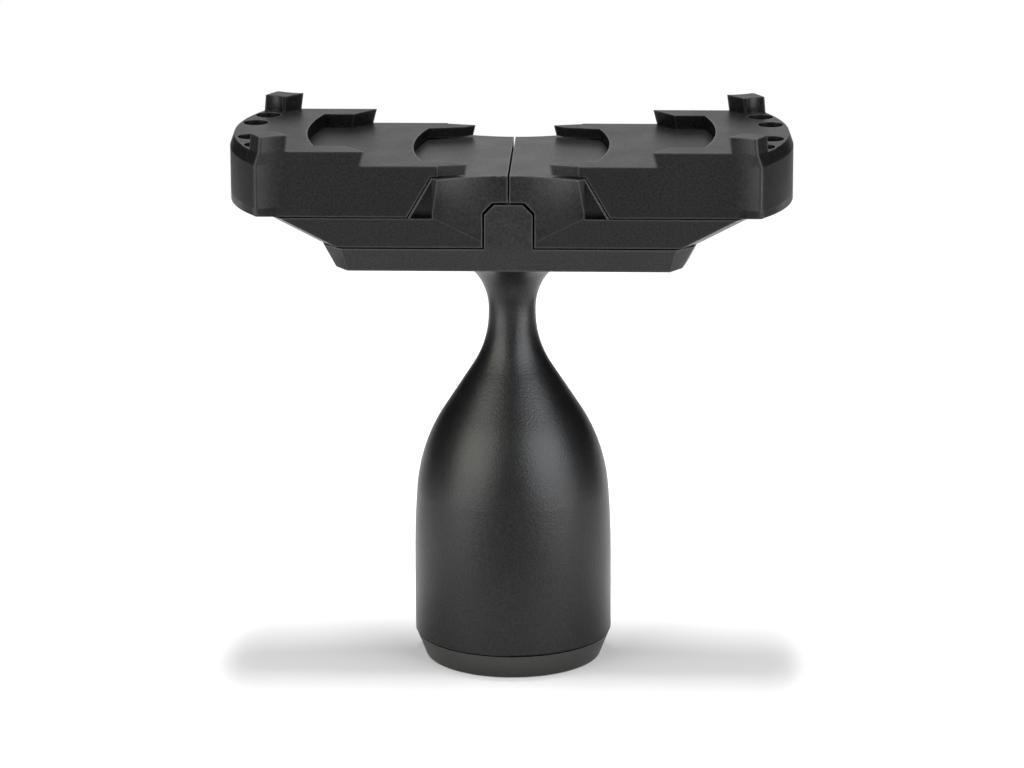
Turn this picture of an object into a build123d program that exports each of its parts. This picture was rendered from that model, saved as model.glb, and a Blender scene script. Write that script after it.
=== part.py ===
from build123d import *
import os
from math import asin, cos, radians, sin

# Painting handle: a bottle shaped grip that carries a spring loaded clamp for model bases.
# Millimetres, +Z up, origin at the centre of the foot, the front faces -Y, the jaws open along X.

# Grip, a hollow moulding turned about Z
GRIP_RADIUS = 22.3
GRIP_FOOT_Z = 5.9
FOOT_ROUND = 0.4
BARREL_TOP_Z = 24.0
EASE_RADIUS = 201.5
EASE_TURN = 4.42
SHOULDER_RADIUS = 39.2
SHOULDER_TURN = 28.54
SLOPE_LENGTH = 12.1
NECK_RADIUS = 22.55
NECK_STRAIGHT = 1.1
FLARE_RADIUS = 12.9
FLARE_TURN = 71.0
GRIP_WALL = 2.6
BORE_RADIUS = GRIP_RADIUS - GRIP_WALL
CEILING_Z = 62.0

# Base cap, foot pad and ballast
CAP_FOOT_RADIUS = 19.85
CAP_FOOT_Z = 0.1
CAP_TOP_RADIUS = 22.05
CAP_GROOVE = 0.2
CAP_GROOVE_DEPTH = 1.0
CAP_EDGE_ROUND = 0.4
CAP_SPIGOT_TOP_Z = 13.0
CAP_SPIGOT_WALL = 2.0
CAP_FLOOR_Z = 3.2
PAD_RADIUS = 18.3
PAD_HEIGHT = 1.4
BALLAST_HEIGHT = 8.0
FIT_GAP = 0.1

# Head bolt, washer and threaded insert on the grip's axis
BOLT_RADIUS = 1.95
BOLT_HOLE_RADIUS = 2.2
BOLT_HEAD_RADIUS = 3.6
BOLT_HEAD_HEIGHT = 2.6
BOLT_TIP_Z = 100.3
HEX_ACROSS_FLATS = 3.0
HEX_DEPTH = 1.6
WASHER_RADIUS = 5.0
WASHER_HEIGHT = 1.0
INSERT_RADIUS = 3.0
INSERT_HOLE_RADIUS = 2.0
INSERT_TOP_Z = 100.6

# Head bracket: a bar with bevelled corners and bowed ends, a hub on top and a square spigot below
HALF_DEPTH = 22.0
BAR_BOTTOM_Z = 95.1
BAR_TOP_Z = 100.05
BAR_CORNER_X = 36.8
BAR_DRAFT = 1.3
BAR_SHOULDER_X = 40.8
BAR_END_DRAFT = 2.65
BAR_BEVEL_Y = 3.8
BAR_BULGE = 2.0
HUB_HALF_WIDTH = 5.3
HUB_TOP_Z = 109.75
HUB_TOP_HALF_DEPTH = 20.8
HUB_CHAMFER = 2.15
SPIGOT_WIDTH = 10.0
SPIGOT_HEIGHT = 2.5

# Sliding fits
SLIDE_GAP = 0.3
STROKE = 18.0
GUIDE_GAP = 0.2

# Carriage: flange on the bar, block over the hub, rail under the jaw, tongue in the bar's slot
CENTRE_GAP = 0.2
HUB_GAP = 0.45
FLANGE_BOTTOM_Z = 100.4
FLANGE_TOP_Z = 106.9
FLANGE_CORNER_X = 37.8
FLANGE_REACH = 12.5
FLANGE_BULGE = 8.3
BLOCK_END_X = 16.7
SEAT_LOW_Z = 116.1
SCOOP_CENTRE_Y = 19.6
SCOOP_FLARE = 56.0
SCOOP_FOOT_X = 6.1
SCOOP_FOOT_Z = 101.9
SCOOP_FOOT_SLOPE = 0.5
SCOOP_SECTIONS_X = (-1.0, 6.0, 12.0, 18.0)
SCOOP_LEDGE = 0.05
WING_HALF_DEPTH = 25.0
WING_CHAMFER_X = 14.6
WEB_GAP = 0.36
WEB_WIDTH = 0.5
RAIL_HALF_DEPTH = 19.5
RAIL_END_X = 51.0
RIDGE_DEPTH = 1.1
RIDGE_SPAN_X = (24.0, 49.6)
RIDGE_BOTTOM_Z = 110.2
RIDGE_TOP_Z = 111.8
TONGUE_IN_X = 8.0
TONGUE_OUT_X = 36.0
TONGUE_NECK_HALF = 3.8
TONGUE_FOOT_HALF = 6.8
TONGUE_FOOT_BOTTOM_Z = 96.55
TONGUE_FOOT_TOP_Z = 98.35
CORE_HALF_IN = 8.5
CORE_HALF_OUT = 17.0
CORE_TOP_Z = 113.0
CORE_SPANS = [(9.0, 20.5), (22.0, 34.0)]

# Springs and the pins they hook on
TUNNEL_HALF = 3.0
SPRING_RADIUS = 2.3
SPRING_BORE = 1.6
EYE_RADIUS = 1.65
WIRE_RADIUS = 0.35
EYE_OFFSET_Z = 0.4
PIN_RADIUS = 1.2
PIN_HOLE_RADIUS = 1.25
PIN_FOOT = 0.5
POST_ROOF = 1.5
POST_REACH = 1.2
CARRIAGE_SPRING_Z = 104.5
JAW_SPRING_Z = 112.0
CARRIAGE_PIN_X = 30.0
JAW_POST_X = 49.0
SPRING_END_GAP = 3.6

# Stop screws
STOP_SCREW_X = 16.3
STOP_HEAD_RADIUS = 1.9
STOP_HEAD_BOTTOM_Z = 95.25
STOP_SHANK_RADIUS = 1.25
JAW_STOP_X = 46.0
JAW_STOP_Y = 10.0
JAW_STOP_HEAD_RADIUS = 2.2
JAW_STOP_HEAD_Z = (103.2, 105.0)
JAW_STOP_TIP_Z = 117.2
STOP_KEY_RADIUS = 0.83
STOP_KEY_DEPTH = 0.62

# Jaw: a moulded cover that runs on the rail, stepped in three seats
JAW_BOTTOM_Z = FLANGE_TOP_Z + SLIDE_GAP
ROOF_BOTTOM_Z = 116.35
SEAT_MID_Z = 118.7
SEAT_HIGH_Z = 121.9
TAB_TOP_Z = 125.5
JAW_WALL_Y = RAIL_HALF_DEPTH + SLIDE_GAP
CHANNEL_END_X = 51.6
TOE_TOP_X = 17.0
JAW_TOE_X = 22.3
PILASTER_FOOT_Z = 109.3
FOOT_FLARE = 0.05
DRAFT_FOOT_Z = 119.2
LAND_SHIFT = 0.95
TAB_SHIFT = 1.25
JAW_END_X = 62.7
PILASTER_START_X = 47.5
PILASTER_X = 54.9
PILASTER_FLARE = 1.9
CORNER_X = 1.0
CORNER_Y = 0.9
CORNER_BULGE = 0.27
UNDERCUT = 0.14
CUT_OVER = 0.5
SEAT_ARC_SAG = 2.5
ARM_INNER_Y = 16.4
MID_ARC_CORNER_X = 42.9
MID_DIAGONAL_X = 36.2
MID_TIP_X = 31.4
INNER_ARC_CORNER_X = 19.3
INNER_ARM_X = 11.2
INNER_ARM_Y = 17.9
INNER_TIP_X = 8.9
INNER_TIP_Y = 19.9
ARM_STEP_X = 15.35
ARM_STEP_IN_X = 15.2
ARM_STEP_Y = 21.4
TAB_TIP_X = 48.1
TAB_HEEL = (51.6, 18.3)
TAB_BEVEL = (52.7, 18.4)
TAB_BACK_Y = 19.9
PEG_HOLES = [(57.7, 7.2), (55.55, 15.2)]
PEG_RADIUS = 2.85
PEG_DEPTH = 8.0
PEG_CLEARANCE = 3.6
END_CORE_X = (53.6, 58.6)
END_CORE_HALF = 13.0
END_CORE_TOP_Z = 112.4

# Working margin that carries a cutting shape clear past the face it cuts
PAST = 5.0


def box_between(x_span, y_span, z_span):
    """A block given by its limits along each axis."""
    size = [high - low for low, high in (x_span, y_span, z_span)]
    middle = [(high + low) / 2 for low, high in (x_span, y_span, z_span)]
    return Pos(*middle) * Box(*size)


def rod_between(x, y, z_span, radius):
    """A round rod standing along Z."""
    low, high = z_span
    return Pos(x, y, (low + high) / 2) * Cylinder(radius, high - low)


def plan_prism(points, z_span):
    """A prism on a plan outline."""
    low, high = z_span
    return extrude(Pos(0, 0, low) * make_face(Polyline(*points, close=True)), high - low)


def side_prism(points, y_span):
    """A prism along Y on an outline given in X and Z."""
    low, high = y_span
    outline = [(x, low, z) for x, z in points]
    return extrude(make_face(Polyline(*outline, close=True)), high - low, dir=(0, 1, 0))


def turned(edges):
    """A solid of revolution about Z from an outline in X and Z."""
    return revolve(Plane.XZ * make_face(edges), Axis.Z)


def front_and_back(solid):
    """The solid together with its mirror image across the middle of the depth."""
    return solid + mirror(solid, about=Plane.XZ)


def bowed_plate(x_in, x_corner, bulge, z):
    """Plan outline of a plate with a straight inner end and a bowed outer end."""
    front_in = (x_in, -HALF_DEPTH, z)
    front_out = (x_corner, -HALF_DEPTH, z)
    back_out = (x_corner, HALF_DEPTH, z)
    back_in = (x_in, HALF_DEPTH, z)
    bow = ThreePointArc(front_out, (x_corner + bulge, 0, z), back_out)
    return make_face([Line(front_in, front_out), bow, Line(back_out, back_in), Line(back_in, front_in)])


def bar_plan(x_corner, x_shoulder, z):
    """Plan outline of half the bar: a bevelled corner, a bowed end, and the same again behind."""
    shoulder_y = HALF_DEPTH - BAR_BEVEL_Y
    front = Polyline((0, -HALF_DEPTH, z), (x_corner, -HALF_DEPTH, z), (x_shoulder, -shoulder_y, z))
    bow = ThreePointArc(front @ 1, (x_shoulder + BAR_BULGE, 0, z), (x_shoulder, shoulder_y, z))
    inner = Line((0, -HALF_DEPTH, z), (0, HALF_DEPTH, z))
    return make_face([front, bow, mirror(front, about=Plane.XZ), inner])


def grip_shell():
    foot = GRIP_RADIUS - FOOT_ROUND
    lip = RadiusArc((foot, GRIP_FOOT_Z), (GRIP_RADIUS, GRIP_FOOT_Z + FOOT_ROUND), -FOOT_ROUND)
    barrel = Line(lip @ 1, (GRIP_RADIUS, BARREL_TOP_Z))
    ease = JernArc(barrel @ 1, barrel % 1, EASE_RADIUS, EASE_TURN)
    shoulder = JernArc(ease @ 1, ease % 1, SHOULDER_RADIUS, SHOULDER_TURN)
    slope = Line(shoulder @ 1, shoulder @ 1 + SLOPE_LENGTH * (shoulder % 1))
    waist = JernArc(slope @ 1, slope % 1, NECK_RADIUS, -(EASE_TURN + SHOULDER_TURN))
    neck = Line(waist @ 1, waist @ 1 + NECK_STRAIGHT * (waist % 1))
    flare = JernArc(neck @ 1, neck % 1, FLARE_RADIUS, -FLARE_TURN)
    collar = Line(flare @ 1, ((flare @ 1).X, BAR_BOTTOM_Z))
    top = Line(collar @ 1, (BOLT_HOLE_RADIUS, BAR_BOTTOM_Z))
    hole = Line(top @ 1, (BOLT_HOLE_RADIUS, CEILING_Z))
    # the inner wall follows the shoulder at the wall's thickness
    turn = radians(EASE_TURN)
    centre_x = GRIP_RADIUS - EASE_RADIUS * (1 - cos(turn)) - SHOULDER_RADIUS * cos(turn)
    centre_z = BARREL_TOP_Z + EASE_RADIUS * sin(turn) - SHOULDER_RADIUS * sin(turn)
    inner_radius = SHOULDER_RADIUS - GRIP_WALL
    end_turn = asin((CEILING_Z - centre_z) / inner_radius)
    middle_turn = (turn + end_turn) / 2
    on_arc = [(centre_x + inner_radius * cos(t), centre_z + inner_radius * sin(t))
              for t in (end_turn, middle_turn, turn)]
    ceiling = Line(hole @ 1, on_arc[0])
    dome = ThreePointArc(*on_arc)
    ease_in = Line(dome @ 1, (BORE_RADIUS, BARREL_TOP_Z))
    bore = Line(ease_in @ 1, (BORE_RADIUS, GRIP_FOOT_Z))
    seat = Line(bore @ 1, lip @ 0)
    edges = [lip, barrel, ease, shoulder, slope, waist, neck, flare, collar, top, hole,
             ceiling, dome, ease_in, bore, seat]
    socket_width = SPIGOT_WIDTH + 2 * FIT_GAP
    socket = box_between((-socket_width / 2, socket_width / 2), (-socket_width / 2, socket_width / 2),
                         (BAR_BOTTOM_Z - SPIGOT_HEIGHT - FIT_GAP, BAR_BOTTOM_Z + PAST))
    return turned(edges) - socket


def base_cap():
    groove_z = GRIP_FOOT_Z - CAP_GROOVE
    spigot = BORE_RADIUS - FIT_GAP
    spigot_bore = spigot - CAP_SPIGOT_WALL
    groove = CAP_TOP_RADIUS - CAP_GROOVE_DEPTH
    recess = PAD_RADIUS + FIT_GAP
    points = [(0, PAD_HEIGHT), (recess, PAD_HEIGHT), (recess, CAP_FOOT_Z),
              (CAP_FOOT_RADIUS, CAP_FOOT_Z), (CAP_TOP_RADIUS, groove_z),
              (groove, groove_z), (groove, GRIP_FOOT_Z),
              (spigot, GRIP_FOOT_Z), (spigot, CAP_SPIGOT_TOP_Z),
              (spigot_bore, CAP_SPIGOT_TOP_Z), (spigot_bore, CAP_FLOOR_Z), (0, CAP_FLOOR_Z)]
    cap = turned(Polyline(*points, close=True))
    rim_edges = cap.edges().filter_by(GeomType.CIRCLE).filter_by(
        lambda edge: abs(edge.radius - CAP_FOOT_RADIUS) < FIT_GAP / 2)
    return fillet(rim_edges, CAP_EDGE_ROUND)


def foot_pad():
    return rod_between(0, 0, (0, PAD_HEIGHT), PAD_RADIUS)


def ballast_weight():
    radius = BORE_RADIUS - CAP_SPIGOT_WALL - 2 * FIT_GAP
    disc = rod_between(0, 0, (CAP_FLOOR_Z, CAP_FLOOR_Z + BALLAST_HEIGHT), radius)
    return chamfer(disc.edges(), FIT_GAP * 5)


def head_washer():
    ring = rod_between(0, 0, (CEILING_Z - WASHER_HEIGHT, CEILING_Z), WASHER_RADIUS)
    return ring - rod_between(0, 0, (CEILING_Z - PAST, CEILING_Z + PAST), BOLT_HOLE_RADIUS)


def head_bolt():
    seat_z = CEILING_Z - WASHER_HEIGHT
    head = rod_between(0, 0, (seat_z - BOLT_HEAD_HEIGHT, seat_z), BOLT_HEAD_RADIUS)
    shank = rod_between(0, 0, (seat_z, BOLT_TIP_Z), BOLT_RADIUS)
    key = Pos(0, 0, seat_z - BOLT_HEAD_HEIGHT) * extrude(
        RegularPolygon(HEX_ACROSS_FLATS / 2, 6, major_radius=False), HEX_DEPTH)
    return head + shank - key


def thread_insert():
    bottom_z = BAR_BOTTOM_Z - SPIGOT_HEIGHT
    sleeve = rod_between(0, 0, (bottom_z, INSERT_TOP_Z), INSERT_RADIUS)
    return sleeve - rod_between(0, 0, (bottom_z - PAST, INSERT_TOP_Z + PAST), INSERT_HOLE_RADIUS)


def hub_outline(grow_width, grow_top, bottom_z):
    """Half of the hub's front outline, from the centre line, enlarged for clearance."""
    half = HUB_HALF_WIDTH + grow_width
    top = HUB_TOP_Z + grow_top
    return [(-PAST, bottom_z), (half, bottom_z), (half, top - HUB_CHAMFER),
            (half - HUB_CHAMFER, top), (-PAST, top)]


def head_bracket():
    half_bar = loft([bar_plan(BAR_CORNER_X - BAR_DRAFT, BAR_SHOULDER_X - BAR_END_DRAFT, BAR_BOTTOM_Z),
                     bar_plan(BAR_CORNER_X, BAR_SHOULDER_X, BAR_TOP_Z)], ruled=True)
    hub_base = Pos(0, 0, BAR_TOP_Z) * Rectangle(2 * HUB_HALF_WIDTH, 2 * HALF_DEPTH)
    hub_top = Pos(0, 0, HUB_TOP_Z) * Rectangle(2 * HUB_HALF_WIDTH, 2 * HUB_TOP_HALF_DEPTH)
    hub = loft([hub_base, hub_top], ruled=True)
    hub = chamfer(hub.edges().filter_by(Axis.Y).group_by(Axis.Z)[-1], HUB_CHAMFER)
    spigot = box_between((-SPIGOT_WIDTH / 2, SPIGOT_WIDTH / 2), (-SPIGOT_WIDTH / 2, SPIGOT_WIDTH / 2),
                         (BAR_BOTTOM_Z - SPIGOT_HEIGHT, BAR_BOTTOM_Z))
    bracket = half_bar + mirror(half_bar, about=Plane.YZ) + hub + spigot
    # the insert's pocket, the spring tunnel through the hub and the hole for its pin
    bracket -= rod_between(0, 0, (BAR_BOTTOM_Z - PAST, INSERT_TOP_Z), INSERT_RADIUS)
    tunnel_rise = TUNNEL_HALF - GUIDE_GAP
    bracket -= box_between((-HUB_HALF_WIDTH - PAST, HUB_HALF_WIDTH + PAST), (-TUNNEL_HALF, TUNNEL_HALF),
                           (CARRIAGE_SPRING_Z - tunnel_rise, CARRIAGE_SPRING_Z + tunnel_rise))
    bracket -= rod_between(0, 0, (CARRIAGE_SPRING_Z, HUB_TOP_Z + PAST), PIN_HOLE_RADIUS)
    # each carriage's tongue runs in a slot, its stop screw in a smaller slot through the floor of that
    stop_slot = extrude(SlotCenterToCenter(STROKE, 2 * (STOP_HEAD_RADIUS + SLIDE_GAP)), 2 * PAST)
    stop_slot = Pos(STOP_SCREW_X + STROKE / 2, 0, TONGUE_FOOT_BOTTOM_Z - 2 * PAST) * stop_slot
    slots = tongue(GUIDE_GAP, BAR_SHOULDER_X + BAR_BULGE + PAST) + stop_slot
    return bracket - slots - mirror(slots, about=Plane.YZ)


def tongue(grow, x_out):
    """The T shaped tongue of the carriage, enlarged all round for the slot it runs in."""
    x_span = (TONGUE_IN_X - grow, x_out)
    neck_half = TONGUE_NECK_HALF + grow
    foot_half = TONGUE_FOOT_HALF + grow
    neck = box_between(x_span, (-neck_half, neck_half), (TONGUE_FOOT_BOTTOM_Z, FLANGE_BOTTOM_Z + grow))
    foot = box_between(x_span, (-foot_half, foot_half),
                       (TONGUE_FOOT_BOTTOM_Z - grow, TONGUE_FOOT_TOP_Z + grow))
    return neck + foot


def hub_spring_pin():
    foot_z = CARRIAGE_SPRING_Z - TUNNEL_HALF + GUIDE_GAP
    return rod_between(0, 0, (foot_z, HUB_TOP_Z - GUIDE_GAP), PIN_RADIUS)


def scoop_cut():
    """What is hollowed from the block's front: from a slanting foot it flares forward to the top."""
    sections = []
    for x in SCOOP_SECTIONS_X:
        foot_z = SCOOP_FOOT_Z + SCOOP_FOOT_SLOPE * (x - SCOOP_FOOT_X)
        foot_y = -HALF_DEPTH + SCOOP_LEDGE
        lean = (-SCOOP_CENTRE_Y - x * x / SCOOP_FLARE - foot_y) / (SEAT_LOW_Z - foot_z)
        over_z = SEAT_LOW_Z + CUT_OVER
        over_y = foot_y + lean * (over_z - foot_z)
        out_y = -WING_HALF_DEPTH - PAST
        corners = [(x, out_y, foot_z), (x, foot_y, foot_z), (x, over_y, over_z), (x, out_y, over_z)]
        sections.append(make_face(Polyline(*corners, close=True)))
    return loft(sections)


def toe_web():
    """The thin slanting wall that the jaw's toe closes on, with a three-cornered pocket behind it."""
    slope = (JAW_TOE_X - TOE_TOP_X) / (ROOF_BOTTOM_Z - JAW_BOTTOM_Z)
    foot_z = FLANGE_TOP_Z - SLIDE_GAP
    face_top_x = TOE_TOP_X + slope * (ROOF_BOTTOM_Z - SEAT_LOW_Z) - WEB_GAP
    face_foot_x = TOE_TOP_X + slope * (ROOF_BOTTOM_Z - foot_z) - WEB_GAP
    return side_prism([(face_top_x, SEAT_LOW_Z), (face_foot_x, foot_z), (face_foot_x - WEB_WIDTH, foot_z),
                       (face_top_x - WEB_WIDTH, SEAT_LOW_Z)], (-HALF_DEPTH, CUT_OVER - RAIL_HALF_DEPTH))


def carriage():
    flange_foot = bowed_plate(HUB_HALF_WIDTH, FLANGE_CORNER_X, FLANGE_BULGE, FLANGE_BOTTOM_Z)
    flange_top = bowed_plate(HUB_HALF_WIDTH, FLANGE_CORNER_X + FLANGE_REACH, FLANGE_BULGE, FLANGE_TOP_Z)
    flange = loft([flange_foot, flange_top], ruled=True)
    block = box_between((CENTRE_GAP, BLOCK_END_X), (-WING_HALF_DEPTH, WING_HALF_DEPTH),
                        (FLANGE_BOTTOM_Z, SEAT_LOW_Z))
    # below the slanting foot of the scoop the block is flush with the flange
    foot_in_z = SCOOP_FOOT_Z + SCOOP_FOOT_SLOPE * (-PAST - SCOOP_FOOT_X)
    foot_out_z = SCOOP_FOOT_Z + SCOOP_FOOT_SLOPE * (BLOCK_END_X + PAST - SCOOP_FOOT_X)
    flush = side_prism([(-PAST, foot_in_z), (BLOCK_END_X + PAST, foot_out_z),
                        (BLOCK_END_X + PAST, BAR_BOTTOM_Z - PAST), (-PAST, BAR_BOTTOM_Z - PAST)],
                       (-WING_HALF_DEPTH - PAST, -HALF_DEPTH))
    wing_chamfer = plan_prism([(WING_CHAMFER_X, -WING_HALF_DEPTH), (BLOCK_END_X + 1, -WING_HALF_DEPTH),
                               (BLOCK_END_X + 1, -HALF_DEPTH + 1)],
                              (FLANGE_TOP_Z + GUIDE_GAP, SEAT_LOW_Z + PAST))
    block -= front_and_back(flush + wing_chamfer)
    rail = box_between((BLOCK_END_X - 1, RAIL_END_X), (-RAIL_HALF_DEPTH, RAIL_HALF_DEPTH),
                       (FLANGE_TOP_Z - SLIDE_GAP, SEAT_LOW_Z))
    groove = box_between((RIDGE_SPAN_X[0] - SLIDE_GAP, RAIL_END_X + PAST),
                         (RAIL_HALF_DEPTH - RIDGE_DEPTH, RAIL_HALF_DEPTH + PAST),
                         (RIDGE_BOTTOM_Z - SLIDE_GAP, RIDGE_TOP_Z + SLIDE_GAP))
    rail -= front_and_back(groove)
    body = flange + block - front_and_back(scoop_cut())
    body += rail + front_and_back(toe_web()) + tongue(0, TONGUE_OUT_X)
    # room for the hub, the springs, their pin and the screws
    body -= side_prism(hub_outline(HUB_GAP, HUB_GAP, BAR_BOTTOM_Z - PAST),
                       (-HALF_DEPTH - PAST, HALF_DEPTH + PAST))
    body -= box_between((0, CARRIAGE_PIN_X + TUNNEL_HALF), (-TUNNEL_HALF, TUNNEL_HALF),
                        (CARRIAGE_SPRING_Z - TUNNEL_HALF, CARRIAGE_SPRING_Z + TUNNEL_HALF))
    body -= box_between((CARRIAGE_PIN_X - TUNNEL_HALF, RAIL_END_X + PAST), (-TUNNEL_HALF, TUNNEL_HALF),
                        (JAW_SPRING_Z - TUNNEL_HALF, JAW_SPRING_Z + TUNNEL_HALF))
    post_half = PIN_RADIUS + GUIDE_GAP
    body -= box_between((JAW_POST_X - TUNNEL_HALF, RAIL_END_X + PAST), (-post_half, post_half),
                        (JAW_SPRING_Z, SEAT_LOW_Z + PAST))
    body -= rod_between(CARRIAGE_PIN_X, 0, (FLANGE_BOTTOM_Z + PIN_FOOT, SEAT_LOW_Z + PAST), PIN_HOLE_RADIUS)
    screw_span = (BAR_BOTTOM_Z, FLANGE_BOTTOM_Z + PIN_FOOT + FIT_GAP)
    body -= rod_between(STOP_SCREW_X, 0, screw_span, STOP_SHANK_RADIUS)
    for y in (-JAW_STOP_Y, JAW_STOP_Y):
        head_hole = JAW_STOP_HEAD_RADIUS + GUIDE_GAP
        body -= rod_between(JAW_STOP_X, y, (BAR_BOTTOM_Z, JAW_STOP_HEAD_Z[1]), head_hole)
        body -= rod_between(JAW_STOP_X, y, (BAR_BOTTOM_Z, SEAT_LOW_Z + PAST), STOP_SHANK_RADIUS)
    # moulded out from below to an even wall
    for x_span in CORE_SPANS:
        core = box_between(x_span, (CORE_HALF_IN, CORE_HALF_OUT), (BAR_BOTTOM_Z, CORE_TOP_Z))
        body -= front_and_back(core)
    return body


def carriage_spring_pin():
    return rod_between(CARRIAGE_PIN_X, 0, (FLANGE_BOTTOM_Z + PIN_FOOT, SEAT_LOW_Z - GUIDE_GAP), PIN_RADIUS)


def carriage_stop_screw():
    head = rod_between(STOP_SCREW_X, 0, (STOP_HEAD_BOTTOM_Z, TONGUE_FOOT_BOTTOM_Z), STOP_HEAD_RADIUS)
    shank_span = (TONGUE_FOOT_BOTTOM_Z, FLANGE_BOTTOM_Z + PIN_FOOT)
    shank = rod_between(STOP_SCREW_X, 0, shank_span, STOP_SHANK_RADIUS)
    key = Pos(STOP_SCREW_X, 0, STOP_HEAD_BOTTOM_Z) * extrude(
        RegularPolygon(STOP_KEY_RADIUS, 6, major_radius=False), STOP_KEY_DEPTH)
    return head + shank - key


def jaw_stop_screws():
    screws = []
    for y in (-JAW_STOP_Y, JAW_STOP_Y):
        head = rod_between(JAW_STOP_X, y, JAW_STOP_HEAD_Z, JAW_STOP_HEAD_RADIUS)
        shank = rod_between(JAW_STOP_X, y, (JAW_STOP_HEAD_Z[1], JAW_STOP_TIP_Z), STOP_SHANK_RADIUS)
        key = Pos(JAW_STOP_X, y, JAW_STOP_HEAD_Z[0]) * extrude(
            RegularPolygon(STOP_KEY_RADIUS, 6, major_radius=False), STOP_KEY_DEPTH)
        screws.append(head + shank - key)
    return Compound(children=screws)


def spring_between(x_in, x_out, z, eye_lift):
    """Extension spring along X: a close wound body drawn as a sleeve, with an eye round each pin."""
    body_span = (x_in + SPRING_END_GAP, x_out - SPRING_END_GAP)
    length = body_span[1] - body_span[0]
    lie_along_x = Pos(sum(body_span) / 2, 0, z) * Rot(0, 90, 0)
    spring = lie_along_x * (Cylinder(SPRING_RADIUS, length) - Cylinder(SPRING_BORE, length))
    for x, inward in ((x_in, 1), (x_out, -1)):
        eye_z = z + (eye_lift if inward > 0 else 0)
        spring += Pos(x, 0, eye_z) * Torus(EYE_RADIUS, WIRE_RADIUS)
        # a bent end of the wire runs from the eye to the rim of the wound body
        rim_side = -1 if eye_z < z else 1
        rim_z = z + rim_side * (SPRING_RADIUS + SPRING_BORE) / 2
        start = (x + inward * EYE_RADIUS, 0, eye_z)
        end = (x + inward * (SPRING_END_GAP + WIRE_RADIUS), 0, rim_z)
        leg = Line(start, end)
        spring += sweep(Plane(origin=leg @ 0, z_dir=leg % 0) * Circle(WIRE_RADIUS), path=leg)
    return spring


def jaw_plan(shift, flare, z):
    """Plan outline of the jaw: flat front, flared pilaster, round corner and bowed end."""
    start_x = INNER_TIP_X - 1
    front_y = -HALF_DEPTH
    edge_y = front_y - flare
    corner_in = Vector(PILASTER_X - shift, edge_y, z)
    corner_out = corner_in + Vector(CORNER_X, CORNER_Y, 0)
    corner_outward = Vector(CORNER_Y, -CORNER_X, 0).normalized()
    corner_middle = (corner_in + corner_out) / 2 + CORNER_BULGE * corner_outward
    front = Line((start_x, front_y, z), (PILASTER_START_X, front_y, z))
    pilaster = TangentArc(front @ 1, corner_in, tangent=(1, 0, 0))
    corner = ThreePointArc(corner_in, corner_middle, corner_out)
    front_edges = [front, pilaster, corner]
    back_edges = [mirror(edge, about=Plane.XZ) for edge in front_edges]
    bow = ThreePointArc(corner_out, (JAW_END_X - shift, 0, z), (corner_out.X, -corner_out.Y, z))
    inner = Line((start_x, front_y, z), (start_x, -front_y, z))
    return make_face(front_edges + [bow] + back_edges + [inner])


def seat_plan(corner_x, arm_points, grow, z):
    """Plan of the space a seat leaves open: a shallow bow at the back, arms at both sides, open inward."""
    corner = (corner_x + grow, ARM_INNER_Y + grow)
    half = [corner] + [(x + grow, y + grow) for x, y in arm_points]
    last_x, last_y = half[-1]
    before_x, before_y = half[-2]
    # the last edge runs on past the jaw's side
    reach = (HALF_DEPTH + PAST - last_y) / (last_y - before_y)
    half[-1] = (last_x + reach * (last_x - before_x), HALF_DEPTH + PAST)
    half.append((-PAST, HALF_DEPTH + PAST))
    upper = [(x, y, z) for x, y in half]
    lower = [(x, -y, z) for x, y in half]
    bow = ThreePointArc(lower[0], (corner[0] + SEAT_ARC_SAG, 0, z), upper[0])
    return make_face([bow, Polyline(*upper), Line(upper[-1], lower[-1]), Polyline(*lower[::-1])])


def seat_cut(corner_x, arm_points, z_span):
    """The open space of a seat, wider at its floor so that the walls hook over a base's sloping rim."""
    low, high = z_span
    grow = UNDERCUT * (high - low)
    return loft([seat_plan(corner_x, arm_points, grow, low),
                 seat_plan(corner_x, arm_points, -UNDERCUT * CUT_OVER, high + CUT_OVER)], ruled=True)


def tab_prism():
    """A corner tab above the high seat, hooked over the seat by the same undercut."""
    sections = []
    for z in (SEAT_HIGH_Z - CUT_OVER, TAB_TOP_Z):
        grow = UNDERCUT * (TAB_TOP_Z - z)
        tip_x = TAB_TIP_X + grow
        heel_x, heel_y = TAB_HEEL
        bevel_x, bevel_y = TAB_BEVEL
        peg_x = PEG_HOLES[1][0]
        past_y = HALF_DEPTH + PAST
        past_x = tip_x - PAST * (heel_x - TAB_TIP_X) / (HALF_DEPTH - heel_y)
        corners = [(past_x, past_y, z), (heel_x + grow, heel_y, z), (bevel_x, bevel_y, z),
                   (peg_x, bevel_y, z), (peg_x, TAB_BACK_Y, z),
                   (JAW_END_X, TAB_BACK_Y, z), (JAW_END_X, past_y, z)]
        sections.append(make_face(Polyline(*corners, close=True)))
    return loft(sections, ruled=True)


def toe_cut():
    """What is cut from the inner end of the jaw's front wall, which leaves a slanting end."""
    return side_prism([(-PAST, ROOF_BOTTOM_Z), (TOE_TOP_X, ROOF_BOTTOM_Z), (JAW_TOE_X, JAW_BOTTOM_Z),
                       (JAW_TOE_X, JAW_BOTTOM_Z - PAST), (-PAST, JAW_BOTTOM_Z - PAST)],
                      (-HALF_DEPTH - PAST, GUIDE_GAP - JAW_WALL_Y))


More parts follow.
